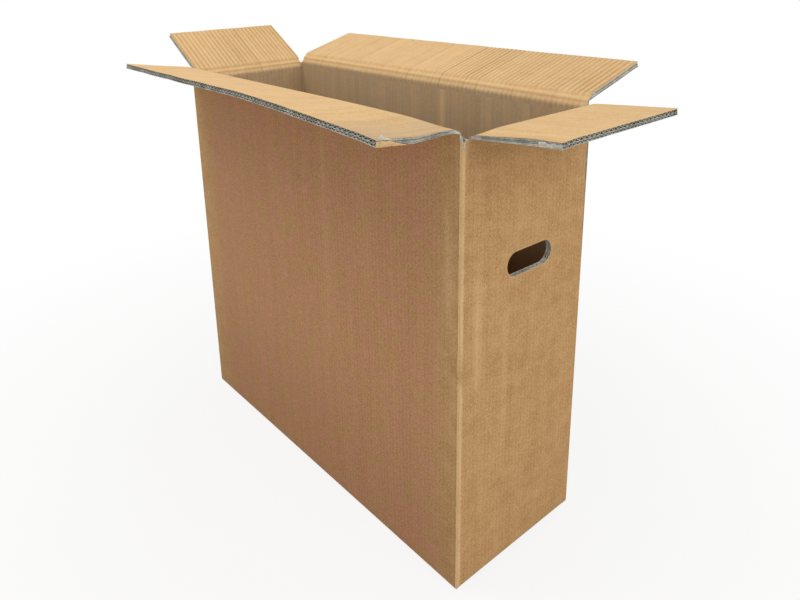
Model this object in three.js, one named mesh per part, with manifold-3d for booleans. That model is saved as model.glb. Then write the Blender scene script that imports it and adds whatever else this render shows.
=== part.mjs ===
// A tall slotted carton of double wall corrugated board, standing open with its four top
// flaps folded outwards. Millimetres, +Z up. The origin is the centre of the base.
import * as THREE from 'three';
import { mergeVertices } from 'three/addons/utils/BufferGeometryUtils.js';
import Module from 'manifold-3d';

const wasm = await Module();
wasm.setup();

// Driving dimensions
const boxLength = 610;
const boxWidth = 221;
const longPanelHeight = 575;
const boardThickness = 7;
const flapDepth = 109;
const longFlapInset = 6;
const cornerBend = 5;
const baseBend = 4;

// Clearances
const endFlapSideClearance = 2;
const flapStackClearance = 0.5;
const creaseClearance = 0.3;

// The board's layers: three liners, with B flutes under the outer one and C flutes inside
const linerThickness = 0.35;
const mediumThickness = 0.5;
const outerFluteHeight = 2.6;
const outerFlutePitch = 6.4;
const innerFlutePitch = 7.9;
const creaseCrushWidth = 9;

// Hand holes, one through each end panel
const handHoleLength = 78;
const handHoleHeight = 29.5;
const handHoleCentreHeight = 409;
const openFluteDepth = 12;

// Glued joint in the back right corner
const glueLapWidth = 38;
const glueLapThickness = 4;
const glueLapTaper = 12;
const glueLapEndClearance = 3;
const jointStripWidth = 4;
const jointGapTop = 3;
const jointGapFoot = 0.5;
const jointGapLength = 270;

// Base seam, where the two long bottom flaps meet a little behind the middle
const seamGap = 1;
const seamOffset = 3;

// Tear at the top of the near right corner
const tearWidth = 6;
const tearDepth = 10;

// Opening angle of each flap, in degrees above level
const frontFlapAngle = 9;
const rightFlapAngle = 5;
const leftFlapAngle = 31;
const backFlapAngle = 16;

// The front flap's right end hangs: over this length its outer edge falls by this depth
const frontSag = { length: 260, depth: 10 };
const noSag = { ...frontSag, depth: 0 };
const sagStep = 28;

// Damaged corners, each beyond a slanted line that cuts off these lengths of the outer
// edge and the side edge, and sloping down from it at this angle in degrees.
// The front flap's tip is bent down whole; the right flap's tip has its inner side crushed.
const frontBentTip = { alongEdge: 24, alongSide: 38, angle: 22 };
const rightCrushedTip = { alongEdge: 20, alongSide: 36, angle: 10 };
const tipOverlap = 0.5;

// Worked out from the driving dimensions
const endPanelHeight = longPanelHeight - boardThickness - flapStackClearance;
const endFlapInset = boardThickness + endFlapSideClearance;
const longFlapLength = boxLength - 2 * longFlapInset;
const endFlapLength = boxWidth - 2 * endFlapInset;
const insideLength = boxLength - 2 * boardThickness;
const insideWidth = boxWidth - 2 * boardThickness;
const middleLinerHeight = linerThickness + outerFluteHeight;
const innerFluteFoot = middleLinerHeight + linerThickness;
const innerFluteTop = boardThickness - linerThickness;
const overcut = 20;

const colours = {
  outerKraft: 0xb08a5c,
  linerKraft: 0xdcb480,
};

function radians(degrees) {
  return degrees * Math.PI / 180;
}

// A closed geometry as a solid for cutting and joining
function toSolid(geometry) {
  const bare = geometry.index ? geometry.toNonIndexed() : geometry.clone();
  bare.deleteAttribute('normal');
  bare.deleteAttribute('uv');
  const merged = mergeVertices(bare, 1e-5);
  return new wasm.Manifold(new wasm.Mesh({
    numProp: 3,
    vertProperties: new Float32Array(merged.attributes.position.array),
    triVerts: new Uint32Array(merged.index.array),
  }));
}

function toGeometry(solid) {
  const mesh = solid.getMesh();
  const geometry = new THREE.BufferGeometry();
  geometry.setAttribute('position', new THREE.BufferAttribute(mesh.vertProperties, 3));
  geometry.setIndex(new THREE.BufferAttribute(mesh.triVerts, 1));
  geometry.computeVertexNormals();
  return geometry;
}

function block(minX, maxX, minY, maxY, minZ, maxZ) {
  const geometry = new THREE.BoxGeometry(maxX - minX, maxY - minY, maxZ - minZ);
  geometry.translate((minX + maxX) / 2, (minY + maxY) / 2, (minZ + maxZ) / 2);
  return toSolid(geometry);
}

function extrude(shape, depth, curveSegments = 4) {
  return new THREE.ExtrudeGeometry(shape, { depth, bevelEnabled: false, curveSegments });
}

// A shape drawn in X and Z, swept along Y between two places
function prismAlongY(points, minY, maxY) {
  const shape = new THREE.Shape(points.map(([x, z]) => new THREE.Vector2(x, z)));
  const geometry = extrude(shape, maxY - minY);
  geometry.rotateX(Math.PI / 2);
  geometry.translate(0, maxY, 0);
  return toSolid(geometry);
}

// A shape drawn in Y and Z, swept along X between two places
function prismAlongX(shape, minX, maxX, curveSegments) {
  const geometry = extrude(shape, maxX - minX, curveSegments);
  geometry.rotateX(Math.PI / 2);
  geometry.rotateZ(Math.PI / 2);
  geometry.translate(minX, 0, 0);
  return toSolid(geometry);
}

function polygon(points) {
  return new THREE.Shape(points.map(([a, b]) => new THREE.Vector2(a, b)));
}

function roundedRectangle(length, width, radius) {
  const x = length / 2;
  const y = width / 2;
  const shape = new THREE.Shape();
  shape.moveTo(-x + radius, -y);
  shape.lineTo(x - radius, -y);
  shape.absarc(x - radius, -y + radius, radius, -Math.PI / 2, 0, false);
  shape.lineTo(x, y - radius);
  shape.absarc(x - radius, y - radius, radius, 0, Math.PI / 2, false);
  shape.lineTo(-x + radius, y);
  shape.absarc(-x + radius, y - radius, radius, Math.PI / 2, Math.PI, false);
  shape.lineTo(-x, -y + radius);
  shape.absarc(-x + radius, -y + radius, radius, Math.PI, Math.PI * 1.5, false);
  return shape;
}

// What a bend takes off a square edge: the corner outside a quarter circle.
// The edge lies at (0, 0) and the board fills positive a and positive b.
function bendCorner(radius) {
  const shape = new THREE.Shape();
  shape.moveTo(-overcut, -overcut);
  shape.lineTo(radius, -overcut);
  shape.lineTo(radius, 0);
  shape.absarc(radius, radius, radius, -Math.PI / 2, Math.PI, true);
  shape.lineTo(-overcut, radius);
  return shape;
}

// The channels between a zigzag medium and its liners, as triangles across the board.
// One lies under each ridge, and with bothSides also one above each furrow.
function fluteChannels(length, pitch, foot, top, bothSides) {
  const slope = Math.atan2(top - foot, pitch / 2);
  const sideGap = mediumThickness / 2 / Math.sin(slope);
  const tipGap = mediumThickness / 2 / Math.cos(slope);
  const count = Math.floor((length - 2 * mediumThickness) / pitch);
  const start = -count * pitch / 2;
  const channels = [];
  for (let i = 0; i < count; i += 1) {
    const left = start + i * pitch;
    const right = left + pitch;
    const middle = left + pitch / 2;
    channels.push([[left + sideGap, foot], [right - sideGap, foot], [middle, top - tipGap]]);
    if (bothSides && i > 0) {
      const before = middle - pitch;
      channels.push([[before + sideGap, top], [left, foot + tipGap], [middle - sideGap, top]]);
    }
  }
  return channels;
}

// All the channels of a board of this length, drawn along the board and through it
function boardChannels(length) {
  const outer = fluteChannels(length, outerFlutePitch, linerThickness, middleLinerHeight, false);
  const inner = fluteChannels(length, innerFlutePitch, innerFluteFoot, innerFluteTop, true);
  return [...outer, ...inner];
}

// The four walls, one sheet bent round the corners
function walls() {
  const outline = roundedRectangle(boxLength, boxWidth, cornerBend);
  const hollow = polygon([
    [-insideLength / 2, -insideWidth / 2],
    [-insideLength / 2, insideWidth / 2],
    [insideLength / 2, insideWidth / 2],
    [insideLength / 2, -insideWidth / 2],
  ]);
  outline.holes.push(hollow);
  return toSolid(extrude(outline, longPanelHeight));
}

// The top of a long panel is cut at 45 degrees down from the crease on its outer face,
// so that its flap closes on it as a mitre
function longPanelBevel(side) {
  const crease = longPanelHeight - creaseClearance;
  const outer = side * (boxWidth / 2 + overcut);
  const inner = side * (boxWidth / 2 - boardThickness - overcut);
  const shape = polygon([
    [outer, crease + overcut],
    [inner, crease + overcut],
    [inner, crease - boardThickness - overcut],
  ]);
  return prismAlongX(shape, -longFlapLength / 2, longFlapLength / 2);
}

// The top of an end panel is cut the same way between the long panels
function endPanelBevel(side) {
  const crease = endPanelHeight - creaseClearance;
  const outer = side * (boxLength / 2 + overcut);
  const inner = side * (boxLength / 2 - boardThickness - overcut);
  const points = [
    [outer, crease + overcut],
    [inner, crease + overcut],
    [inner, crease - boardThickness - overcut],
  ];
  return prismAlongY(points, -insideWidth / 2, insideWidth / 2);
}

// The slots leave each corner post level with the end panels' crease
function cornerSlot(side) {
  const near = side * longFlapLength / 2;
  const far = side * (boxLength / 2 + overcut);
  const top = endPanelHeight - creaseClearance;
  return block(
    Math.min(near, far), Math.max(near, far),
    -boxWidth / 2 - overcut, boxWidth / 2 + overcut,
    top, longPanelHeight + overcut,
  );
}

// The long bottom flaps are cut short of the ends, so below them each end is open
function baseSlot(side) {
  const near = side * longFlapLength / 2;
  const far = side * (boxLength / 2 + overcut);
  return block(
    Math.min(near, far), Math.max(near, far),
    -boxWidth / 2 - overcut, boxWidth / 2 + overcut,
    -overcut, boardThickness,
  );
}

function longBottomFlaps() {
  const reach = longFlapLength / 2;
  const seamFront = seamOffset - seamGap / 2;
  const seamBack = seamOffset + seamGap / 2;
  const front = block(-reach, reach, -boxWidth / 2, seamFront, 0, boardThickness);
  const back = block(-reach, reach, seamBack, boxWidth / 2, 0, boardThickness);
  return front.add(back);
}

// The end bottom flaps lie on the long ones, inside the box
function endBottomFlap(side) {
  const outer = side * (boxLength / 2 - boardThickness / 2);
  const inner = side * (boxLength / 2 - flapDepth);
  return block(
    Math.min(inner, outer), Math.max(inner, outer),
    -endFlapLength / 2, endFlapLength / 2,
    boardThickness, 2 * boardThickness,
  );
}

// Rounds the fold along the foot of a long panel
function longBaseFold(side) {
  const shape = bendCorner(baseBend);
  const cutter = prismAlongX(shape, -boxLength / 2 - overcut, boxLength / 2 + overcut);
  const atFront = cutter.translate([0, -boxWidth / 2, 0]);
  return side < 0 ? atFront : atFront.rotate([0, 0, 180]);
}

// Rounds the fold along the foot of an end panel
function endBaseFold(side) {
  const shape = bendCorner(baseBend);
  const cutter = prismAlongX(shape, -boxWidth / 2 - overcut, boxWidth / 2 + overcut);
  const turned = cutter.rotate([0, 0, side > 0 ? 90 : -90]);
  return turned.translate([side * boxLength / 2, 0, boardThickness]);
}

function handHole(side) {
  const radius = handHoleHeight / 2;
  const half = handHoleLength / 2 - radius;
  const shape = new THREE.Shape();
  shape.absarc(half, handHoleCentreHeight, radius, -Math.PI / 2, Math.PI / 2, false);
  shape.absarc(-half, handHoleCentreHeight, radius, Math.PI / 2, Math.PI * 1.5, false);
  const middle = side * (boxLength / 2 - boardThickness / 2);
  return prismAlongX(shape, middle - overcut, middle + overcut, 8);
}

// The open ends of the upright flutes above and below the straight part of a hand hole
function handHoleFlutes(side) {
  const low = handHoleCentreHeight - handHoleHeight / 2 - openFluteDepth;
  const face = boxLength / 2;
  const flutes = boardChannels(handHoleLength - handHoleHeight).map((channel) => {
    const shape = polygon(channel.map(([along, through]) => [through, along]));
    const geometry = extrude(shape, handHoleHeight + 2 * openFluteDepth);
    geometry.rotateZ(side > 0 ? Math.PI : 0);
    geometry.translate(side * face, 0, low);
    return toSolid(geometry);
  });
  return wasm.Manifold.union(flutes);
}

// The lap from the back panel, glued flat inside the right end panel
function glueLap() {
  const low = 2 * boardThickness + glueLapEndClearance;
  const high = endPanelHeight - 2 * boardThickness - glueLapEndClearance;
  const root = insideWidth / 2 + boardThickness / 2;
  const shape = polygon([
    [root, low],
    [root, high],
    [insideWidth / 2, high],
    [insideWidth / 2 - glueLapWidth, high - glueLapTaper],
    [insideWidth / 2 - glueLapWidth, low + glueLapTaper],
    [insideWidth / 2, low],
  ]);
  const face = insideLength / 2;
  return prismAlongX(shape, face - glueLapThickness, face + creaseClearance);
}

// The raw edge of the right end panel stands off the corner, widest at the top
function jointGap() {
  const edge = boxWidth / 2 - jointStripWidth;
  const top = endPanelHeight + overcut;
  const foot = endPanelHeight - jointGapLength;
  const shape = polygon([
    [edge, foot],
    [edge, top],
    [edge - jointGapTop, top],
    [edge - jointGapFoot, foot],
  ]);
  return prismAlongX(shape, boxLength / 2 - boardThickness, boxLength / 2 + overcut);
}

// The torn notch in the near right corner post
function cornerTear() {
  const top = endPanelHeight + overcut;
  const floor = endPanelHeight - tearDepth;
  const shape = polygon([
    [-tearWidth / 2, endPanelHeight],
    [0, floor],
    [tearWidth / 2, endPanelHeight],
    [tearWidth / 2, top],
    [-tearWidth / 2, top],
  ]);
  const cutter = prismAlongX(shape, -boardThickness * 1.5, boardThickness * 1.5);
  return cutter.rotate([0, 0, 135]).translate([boxLength / 2, -boxWidth / 2, 0]);
}

function boxBody() {
  const cuts = [jointGap(), cornerTear()];
  for (const side of [-1, 1]) {
    cuts.push(longPanelBevel(side), endPanelBevel(side), cornerSlot(side), baseSlot(side));
    cuts.push(longBaseFold(side), endBaseFold(side), handHole(side), handHoleFlutes(side));
  }
  let body = walls().add(longBottomFlaps());
  body = body.add(endBottomFlap(-1)).add(endBottomFlap(1));
  for (const cut of cuts) {
    body = body.subtract(cut);
  }
  return body.add(glueLap());
}

// Lets a flap hang below its plane. The sag grows towards the flap's left end as it lies
// in its own frame, and from the crease to the outer edge.
function hang(geometry, length, sag) {
  const position = geometry.attributes.position;
  for (let i = 0; i < position.count; i += 1) {
    const along = Math.max(0, (sag.length - length / 2 - position.getX(i)) / sag.length);
    const outward = position.getY(i) / flapDepth;
    position.setZ(i, position.getZ(i) - sag.depth * along * outward);
  }
  return geometry;
}

// The board of a flap before its flutes are cut: it lies along X with its crease at the
// origin, reaches out along +Y, and its outer liner is its lower face. The mitre at its
// crease end meets the panel's own when the flap closes.
function flapBoard(length, sag) {
  const steps = sag.depth > 0 ? Math.ceil(length / sagStep) : 1;
  const geometry = new THREE.BoxGeometry(
    length, flapDepth - creaseClearance, boardThickness, steps, 1, 1,
  );
  geometry.translate(0, (flapDepth + creaseClearance) / 2, boardThickness / 2);
  const mitre = prismAlongX(polygon([
    [creaseClearance, -overcut],
    [creaseClearance, 0],
    [creaseClearance + boardThickness + overcut, boardThickness + overcut],
    [-overcut, boardThickness + overcut],
    [-overcut, -overcut],
  ]), -length / 2 - overcut, length / 2 + overcut);
  return toSolid(hang(geometry, length, sag)).subtract(mitre);
}

// The flutes are open at the cut edge and crushed shut beside the crease. A bent tip at
// the left end, as the flap lies in its own frame, is pressed solid.
function flapFlutes(length, sag, solidEnd) {
  const shut = boardThickness + creaseCrushWidth;
  const open = boardChannels(length).filter((points) => (
    points.every(([x]) => x > solidEnd - length / 2)
  ));
  return wasm.Manifold.union(open.map((points) => {
    const geometry = extrude(polygon(points), flapDepth + overcut - shut);
    geometry.rotateX(Math.PI / 2);
    geometry.translate(0, flapDepth + overcut, 0);
    return toSolid(hang(geometry, length, sag));
  }));
}

function flap(length, sag = noSag, solidEnd = 0) {
  return flapBoard(length, sag).subtract(flapFlutes(length, sag, solidEnd));
}

// The slanted line that cuts a tip off a flap, and what lies beyond it
function tipLine(length, side, tip) {
  const start = new THREE.Vector2(side * (length / 2 - tip.alongEdge), flapDepth);
  const end = new THREE.Vector2(side * length / 2, flapDepth - tip.alongSide);
  const along = end.clone().sub(start).normalize();
  const outward = new THREE.Vector2(-along.y, along.x).multiplyScalar(side);
  return { start, end, along, outward };
}

function beyondTipLine({ start, end, along, outward }, inset) {
  const near = -inset;
  const far = 2 * boxLength;
  const geometry = extrude(new THREE.Shape([
    start.clone().addScaledVector(along, -far).addScaledVector(outward, near),
    end.clone().addScaledVector(along, far).addScaledVector(outward, near),
    end.clone().addScaledVector(along, far).addScaledVector(outward, far),
    start.clone().addScaledVector(along, -far).addScaledVector(outward, far),
  ]), far);
  geometry.translate(0, 0, -far / 2);
  return toSolid(geometry);
}

function distanceBeyond(line, x, y) {
  return (x - line.start.x) * line.outward.x + (y - line.start.y) * line.outward.y;
}

// Bends the tip down: the board there is pressed solid
function withBentTip(whole, board, length, side, tip) {
  const line = tipLine(length, side, tip);
  const fall = Math.tan(radians(tip.angle));
  const bent = board.intersect(beyondTipLine(line, tipOverlap)).warp((point) => {
    point[2] -= fall * Math.max(0, distanceBeyond(line, point[0], point[1]));
  });
  return whole.subtract(beyondTipLine(line, 0)).add(bent);
}

// Crushes the tip's inner side: its upper face slopes down towards the corner
function withCrushedTip(whole, length, side, tip) {
  const line = tipLine(length, side, tip);
  const fall = Math.tan(radians(tip.angle));
  const crushed = beyondTipLine(line, 0).intersect(block(
    -boxLength, boxLength,
    -boxLength, boxLength,
    boardThickness, boardThickness + overcut,
  )).warp((point) => {
    point[2] -= fall * Math.max(0, distanceBeyond(line, point[0], point[1]));
  });
  return whole.subtract(crushed);
}

function kraft(name, color) {
  const material = new THREE.MeshStandardMaterial({ color, roughness: 0.85, metalness: 0 });
  material.name = name;
  return material;
}

const carton = new THREE.Group();
const outerKraft = kraft('outer_kraft', colours.outerKraft);
const linerKraft = kraft('liner_kraft', colours.linerKraft);

function addPart(parent, name, solid, material) {
  const mesh = new THREE.Mesh(toGeometry(solid), material);
  mesh.name = name;
  parent.add(mesh);
  return mesh;
}

// Hangs a flap on its crease: the group stands on the crease, turned to face outwards
function addFlap(name, solid, crease, facing, openAngle) {
  const hinge = new THREE.Group();
  hinge.position.set(...crease);
  hinge.rotation.z = radians(facing);
  carton.add(hinge);
  const flap = addPart(hinge, name, solid, linerKraft);
  flap.rotation.x = radians(openAngle);
}

addPart(carton, 'box_body', boxBody(), outerKraft);

const frontBoard = flapBoard(longFlapLength, frontSag);
const hangingFlap = flap(longFlapLength, frontSag, frontBentTip.alongEdge);
const frontFlap = withBentTip(hangingFlap, frontBoard, longFlapLength, -1, frontBentTip);
const rightFlap = withCrushedTip(flap(endFlapLength), endFlapLength, 1, rightCrushedTip);
addFlap('front_flap', frontFlap, [0, -boxWidth / 2, longPanelHeight], 180, frontFlapAngle);
addFlap('back_flap', flap(longFlapLength), [0, boxWidth / 2, longPanelHeight], 0, backFlapAngle);
addFlap('right_flap', rightFlap, [boxLength / 2, 0, endPanelHeight], -90, rightFlapAngle);
addFlap('left_flap', flap(endFlapLength), [-boxLength / 2, 0, endPanelHeight], 90, leftFlapAngle);

export default carton;
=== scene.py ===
"""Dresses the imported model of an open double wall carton: board layers, creases, tears,
kraft papers, studio light and camera. Lengths inside the functions are millimetres."""

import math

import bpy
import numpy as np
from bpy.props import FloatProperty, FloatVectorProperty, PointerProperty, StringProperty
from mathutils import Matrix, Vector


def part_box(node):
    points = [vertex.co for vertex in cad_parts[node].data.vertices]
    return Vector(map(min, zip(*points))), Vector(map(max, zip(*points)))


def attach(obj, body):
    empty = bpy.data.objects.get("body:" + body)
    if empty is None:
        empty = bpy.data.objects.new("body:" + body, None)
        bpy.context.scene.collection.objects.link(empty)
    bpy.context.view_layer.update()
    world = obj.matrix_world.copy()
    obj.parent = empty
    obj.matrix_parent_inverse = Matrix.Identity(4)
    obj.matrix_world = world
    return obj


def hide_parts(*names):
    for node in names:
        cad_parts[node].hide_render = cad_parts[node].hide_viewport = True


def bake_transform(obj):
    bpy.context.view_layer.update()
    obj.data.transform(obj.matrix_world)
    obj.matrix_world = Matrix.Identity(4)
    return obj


bl_info = {
    "name": "Double wall corrugated box",
    "version": (1, 0, 0),
    "blender": (4, 5, 0),
    "location": "3D View > Sidebar > Carton",
    "description": "Builds the board, creases, papers, light and camera of an open carton",
    "category": "Object",
}

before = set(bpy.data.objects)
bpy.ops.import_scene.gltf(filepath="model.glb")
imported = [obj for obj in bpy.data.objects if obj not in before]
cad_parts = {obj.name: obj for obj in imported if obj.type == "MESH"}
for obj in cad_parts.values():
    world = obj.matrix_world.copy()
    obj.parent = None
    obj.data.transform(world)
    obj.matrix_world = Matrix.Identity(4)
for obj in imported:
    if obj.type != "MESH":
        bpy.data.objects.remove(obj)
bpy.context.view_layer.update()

MM = 0.001

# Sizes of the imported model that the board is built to
_low, _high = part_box("box_body")
LENGTH = round((_high.x - _low.x) / MM, 3)
WIDTH = round((_high.y - _low.y) / MM, 3)
LONG_CREASE = 575.0
END_CREASE = 567.5
LONG_HALF = 299.0
END_HALF = 101.5
FLAP_DEPTH = 109.0
BOARD = 7.0
POST_TOP = 567.2
BASE_FOLD = 4.0
END_BASE = 7.0

# The board's layers, counted inwards from its outer face
PAPER = 0.5
MIDDLE_LINER = (2.9, 3.3)
C_PITCH, B_PITCH = 7.9, 6.4
C_WAVE = (4.92, 1.38)
B_WAVE = (1.70, 1.02)
MEDIUM = 0.42

# Each crease strip reaches this far down its panel and out along its flap
STRIP = 14.0
FOLD_RADIUS = 1.5

CORNER_RADIUS = 5.5
INNER_RADIUS = 1.3

# How far each piece stands along the papers' patterns, a whole number of flutes
PATTERN_START = {"front": 0.0, "back": 790.0, "right": 1580.0, "left": 2370.0}

HOLE_HALF, HOLE_RADIUS, HOLE_HEIGHT = 39.0, 14.75, 409.0
WINDOW = (55.0, 32.0)
KNOCK_HEIGHT = 299.0
OUTER_TEAR, CORE_TEAR = (11.0, 0.55), (3.0, 0.45)
INNER_SLOT_END = LONG_HALF - 2.7
JOINT_EDGE = WIDTH / 2 - 4.5
SEAM = (2.5, 3.5)

# Material slots, in the order that every piece of board carries them
OUTER, INNER, CUT, TORN = range(4)
BARE = (CUT, CUT, CUT)

# What each point of the board carries for its material: its place along and out from the
# flutes, how rubbed it is, with a painted highlight along the creases, how deep it lies
# between flutes in mm, which paints it darker as shade, as does its depth inside the
# carton, and the darkening of the front panel towards its foot, and how far it is tinted:
# the front panel redder and darker, partly its own tone and partly painted shade, and the
# inside greyer as painted cold shade
MAPS = ("along", "outward", "wear_and_highlight", "depth_and_darkening", "tint_and_shade")


def size(name):
    """One of the user's sizes, in millimetres."""
    return getattr(bpy.context.scene.carton_sizes, name) / MM


def add_object(name, data):
    """A new object in the scene."""
    added = bpy.data.objects.new(name, data)
    bpy.context.scene.collection.objects.link(added)
    return added


def smooth(x, low=0.0, high=1.0):
    """0 up to low, 1 from high on, eased in between."""
    t = np.clip((x - low) / (high - low), 0, 1)
    return t * t * (3 - 2 * t)


def hump(x, centre, width):
    """1 at the centre, falling off over the width."""
    return np.exp(-(((x - centre) / width) ** 2))


def ripple(a, b, spacing, seed):
    """A smooth uneven surface, about -1 to 1, whose bumps lie about this far apart."""
    draw = np.random.default_rng(seed)
    waves = 8
    total = np.zeros(np.broadcast(a, b).shape)
    for _ in range(waves):
        heading, phase = draw.uniform(0, 2 * np.pi, 2)
        step = 2 * np.pi / (spacing * draw.uniform(0.8, 1.7))
        total += np.sin((a * np.cos(heading) + b * np.sin(heading)) * step + phase)
    return total / math.sqrt(waves) / 1.4


class PaperMesh:
    """Gathers sheets of paper, each a closed solid, into one piece."""

    def __init__(self):
        self.points, self.faces, self.slots, self.count = [], [], [], 0
        self.maps = {key: [] for key in MAPS}

    def add(self, lower, upper, along, outward, wear_and_highlight=0.0, slots=(OUTER, INNER, CUT),
            keep=None, ring=False, depth_and_darkening=0.0, tint_and_shade=0.0):
        """A sheet between two grids of points, slots for its lower and upper sides and rim."""
        rows, columns = lower.shape[:2]
        index = np.arange(rows * columns).reshape(rows, columns)
        if ring:
            index = np.vstack([index, index[:1]])
        if keep is None:
            keep = np.ones((index.shape[0] - 1, columns - 1), bool)
        around = np.pad(keep, 1)
        if ring:
            around[0], around[-1] = around[-2], around[1]
        corner = [index[:-1, :-1], index[1:, :-1], index[1:, 1:], index[:-1, 1:]]
        quads = np.stack(corner, -1)[keep]
        faces = [quads[:, ::-1] + self.count, quads + self.count + rows * columns]
        sides = [
            (around[:-2, 1:-1], corner[0], corner[3]),
            (around[2:, 1:-1], corner[2], corner[1]),
            (around[1:-1, :-2], corner[1], corner[0]),
            (around[1:-1, 2:], corner[3], corner[2]),
        ]
        for beside, p, q in sides:
            open_edge = keep & ~beside
            p, q = p[open_edge], q[open_edge]
            first, second = self.count, self.count + rows * columns
            faces.append(np.stack([q + first, p + first, p + second, q + second], -1))
        slot = [np.full(len(faces[0]), slots[0]), np.full(len(faces[1]), slots[1])]
        slot.append(np.full(sum(len(f) for f in faces[2:]), slots[2]))
        faces = np.concatenate(faces)
        a, b, d = (upper.reshape(-1, 3)[quads[len(quads) // 2, k]] for k in (0, 1, 3))
        through = (upper - lower).reshape(-1, 3)[quads[len(quads) // 2, 0]]
        if np.dot(np.cross(b - a, d - a), through) < 0:
            faces = faces[:, ::-1]
        self.points += [lower.reshape(-1, 3), upper.reshape(-1, 3)]
        self.faces.append(faces)
        self.slots.append(np.concatenate(slot))
        for name, values in zip(MAPS, (along, outward, wear_and_highlight, depth_and_darkening, tint_and_shade)):
            flat = np.broadcast_to(values, (rows, columns)).ravel()
            self.maps[name] += [flat, flat]
        self.count += 2 * rows * columns

    def make(self, name):
        """The finished object, in metres, with the four paper materials."""
        points = np.concatenate(self.points) * MM
        faces = np.concatenate(self.faces)
        used, numbers = np.unique(faces, return_inverse=True)
        mesh = bpy.data.meshes.new(name)
        mesh.from_pydata(points[used], [], numbers.reshape(-1, 4))
        for material in ("outer_kraft_liner", "inner_kraft_liner", "recycled_fluting",
                         "torn_fibre"):
            mesh.materials.append(bpy.data.materials[material])
        mesh.polygons.foreach_set("material_index", np.concatenate(self.slots))
        mesh.polygons.foreach_set("use_smooth", np.ones(len(faces), bool))
        mesh.set_sharp_from_angle(angle=math.radians(38))
        for key, parts in self.maps.items():
            scale = MM if key in ("along", "outward") else 1
            values = (np.concatenate(parts)[used] * scale).astype(np.float32)
            mesh.attributes.new(key, "FLOAT", "POINT").data.foreach_set("value", values)
        mesh.update()
        return add_object(name, mesh)


class Hinge:
    """One crease with its flap: a point has u along the crease, t out from it (negative
    down the panel) and w inwards from the board's outer face."""

    def __init__(self, name, out, along, crease, half, angle):
        self.name, self.half = name, half
        self.out, self.along = np.array(out, float), np.array(along, float)
        self.up = np.array((0.0, 0.0, 1.0))
        reach = LENGTH / 2 if out[0] else WIDTH / 2
        self.crease = self.out * reach + self.up * crease
        self.turn = math.radians(90 - angle)
        self.tangent = FOLD_RADIUS * math.tan(self.turn / 2)
        self.centre = self.crease - self.up * self.tangent + self.out * FOLD_RADIUS

    def frame_at(self, t):
        """Directions through and along the board at t, and the straight run past the fold."""
        part = np.clip((t + self.tangent) / (2 * self.tangent), 0, 1)
        angle = (part * self.turn)[..., None]
        through = -self.out * np.cos(angle) + self.up * np.sin(angle)
        onward = self.up * np.cos(angle) + self.out * np.sin(angle)
        straight = t - np.clip(t, -self.tangent, self.tangent)
        return through, onward, straight

    def place(self, u, t, w):
        """Where a point of the board lies, with the board crushed thinner by the crease
        and bent as this flap is."""
        u, t, w = np.broadcast_arrays(u, t, w)
        through, onward, straight = self.frame_at(t)
        w = w * self.thinness(u, t) + self.bend(u, t)
        point = self.centre + self.along * u[..., None]
        point = point + through * (FOLD_RADIUS + w)[..., None]
        point = point + onward * straight[..., None]
        return point + self.up * self.dip(u, t)[..., None]

    def thinness(self, u, t):
        """The board's thickness beside the crease, as a share of the full one."""
        crushed = size("crushed_board") / BOARD + 0.03 * ripple(u, 0, 22, 3)
        crushed = crushed - 0.12 * self.crumpled(u)
        short = smooth(np.abs(t), 1.0, 7.5)
        long = np.where(t > 0, 0.35 * short + 0.65 * smooth(t, 4, 85), short)
        share = short + (long - short) * self.crumpled(u)
        return crushed + (1 - crushed) * share

    def crumpled(self, u):
        """How far the board at the near end of a crease is crumpled, 0 to 1."""
        if self.name == "front":
            return smooth(u, 215, 295)
        return 0.8 * smooth(-u, 60, 100) if self.name == "right" else np.zeros(np.shape(u))

    def dip(self, u, t):
        """How far the crease itself lies below its straight line."""
        if self.name != "front":
            return np.zeros(np.shape(u))
        return -size("crease_dip") * smooth(u, 90, 299) * smooth(t, -STRIP, 0)

    def bend(self, u, t):
        """How far the flap lies off its plane, towards its inner side. Long flaps swell
        outwards and end flaps inwards, so that they lie clear of each other when closed."""
        v = np.clip(t, 0, None)
        out = v / FLAP_DEPTH
        wave = 0.5 * ripple(u, v, 150, 11 + len(self.name)) * smooth(v, STRIP, 70)
        if self.name == "front":
            along = np.clip((u - 39) / 260, 0, 1)
            sag = size("front_sag") * along ** 1.3 * smooth(v, 8, 70) + 1.5 * along * out ** 3
            beyond = tip_distance(u, v, LONG_HALF, 24, 38)
            return -np.abs(wave) * (1 - along) - sag - 0.05 * beyond
        if self.name == "right":
            beyond = tip_distance(-u, v, END_HALF, 20, 36)
            bump = 1.2 * hump(-u, 92, 8) * hump(v, 84, 7)
            return 0.5 * np.abs(wave) - 0.06 * beyond + bump
        if self.name == "back":
            return -np.abs(wave)
        return np.abs(wave)

    def tinted(self, u, t):
        """How far the inner liner is greyed: most at the front flap's corner."""
        if self.name != "front":
            return 0 * u
        return 0.55 * smooth(u, 190, 290) + 0.25 * hump(u, 299, 60) * smooth(t, 60, 109)

    def washboard(self, u, t):
        """How deep the inner liner sinks between the flutes that carry it. The same depth
        darkens its colour there as painted shade.
        """
        deep = {"front": 0.08, "right": 0.10, "left": 1.0}.get(self.name)
        if self.name == "back":
            deep = 0.07 + 0.93 * smooth(u, 0, 90)
        uneven = 0.8 + 0.25 * ripple(u, t * 0.3, 60, 5)
        deep = size("furrow") * deep * uneven * smooth(np.abs(t), 1, 12)
        depth_and_darkening = deep * (1 - np.cos(2 * np.pi * u / C_PITCH)) / 2
        for centre, depth in LINES.get(self.name, ()):
            depth_and_darkening = depth_and_darkening + depth * hump(u, centre, 1.4)
        return depth_and_darkening * smooth(t, -13, -5)


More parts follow.
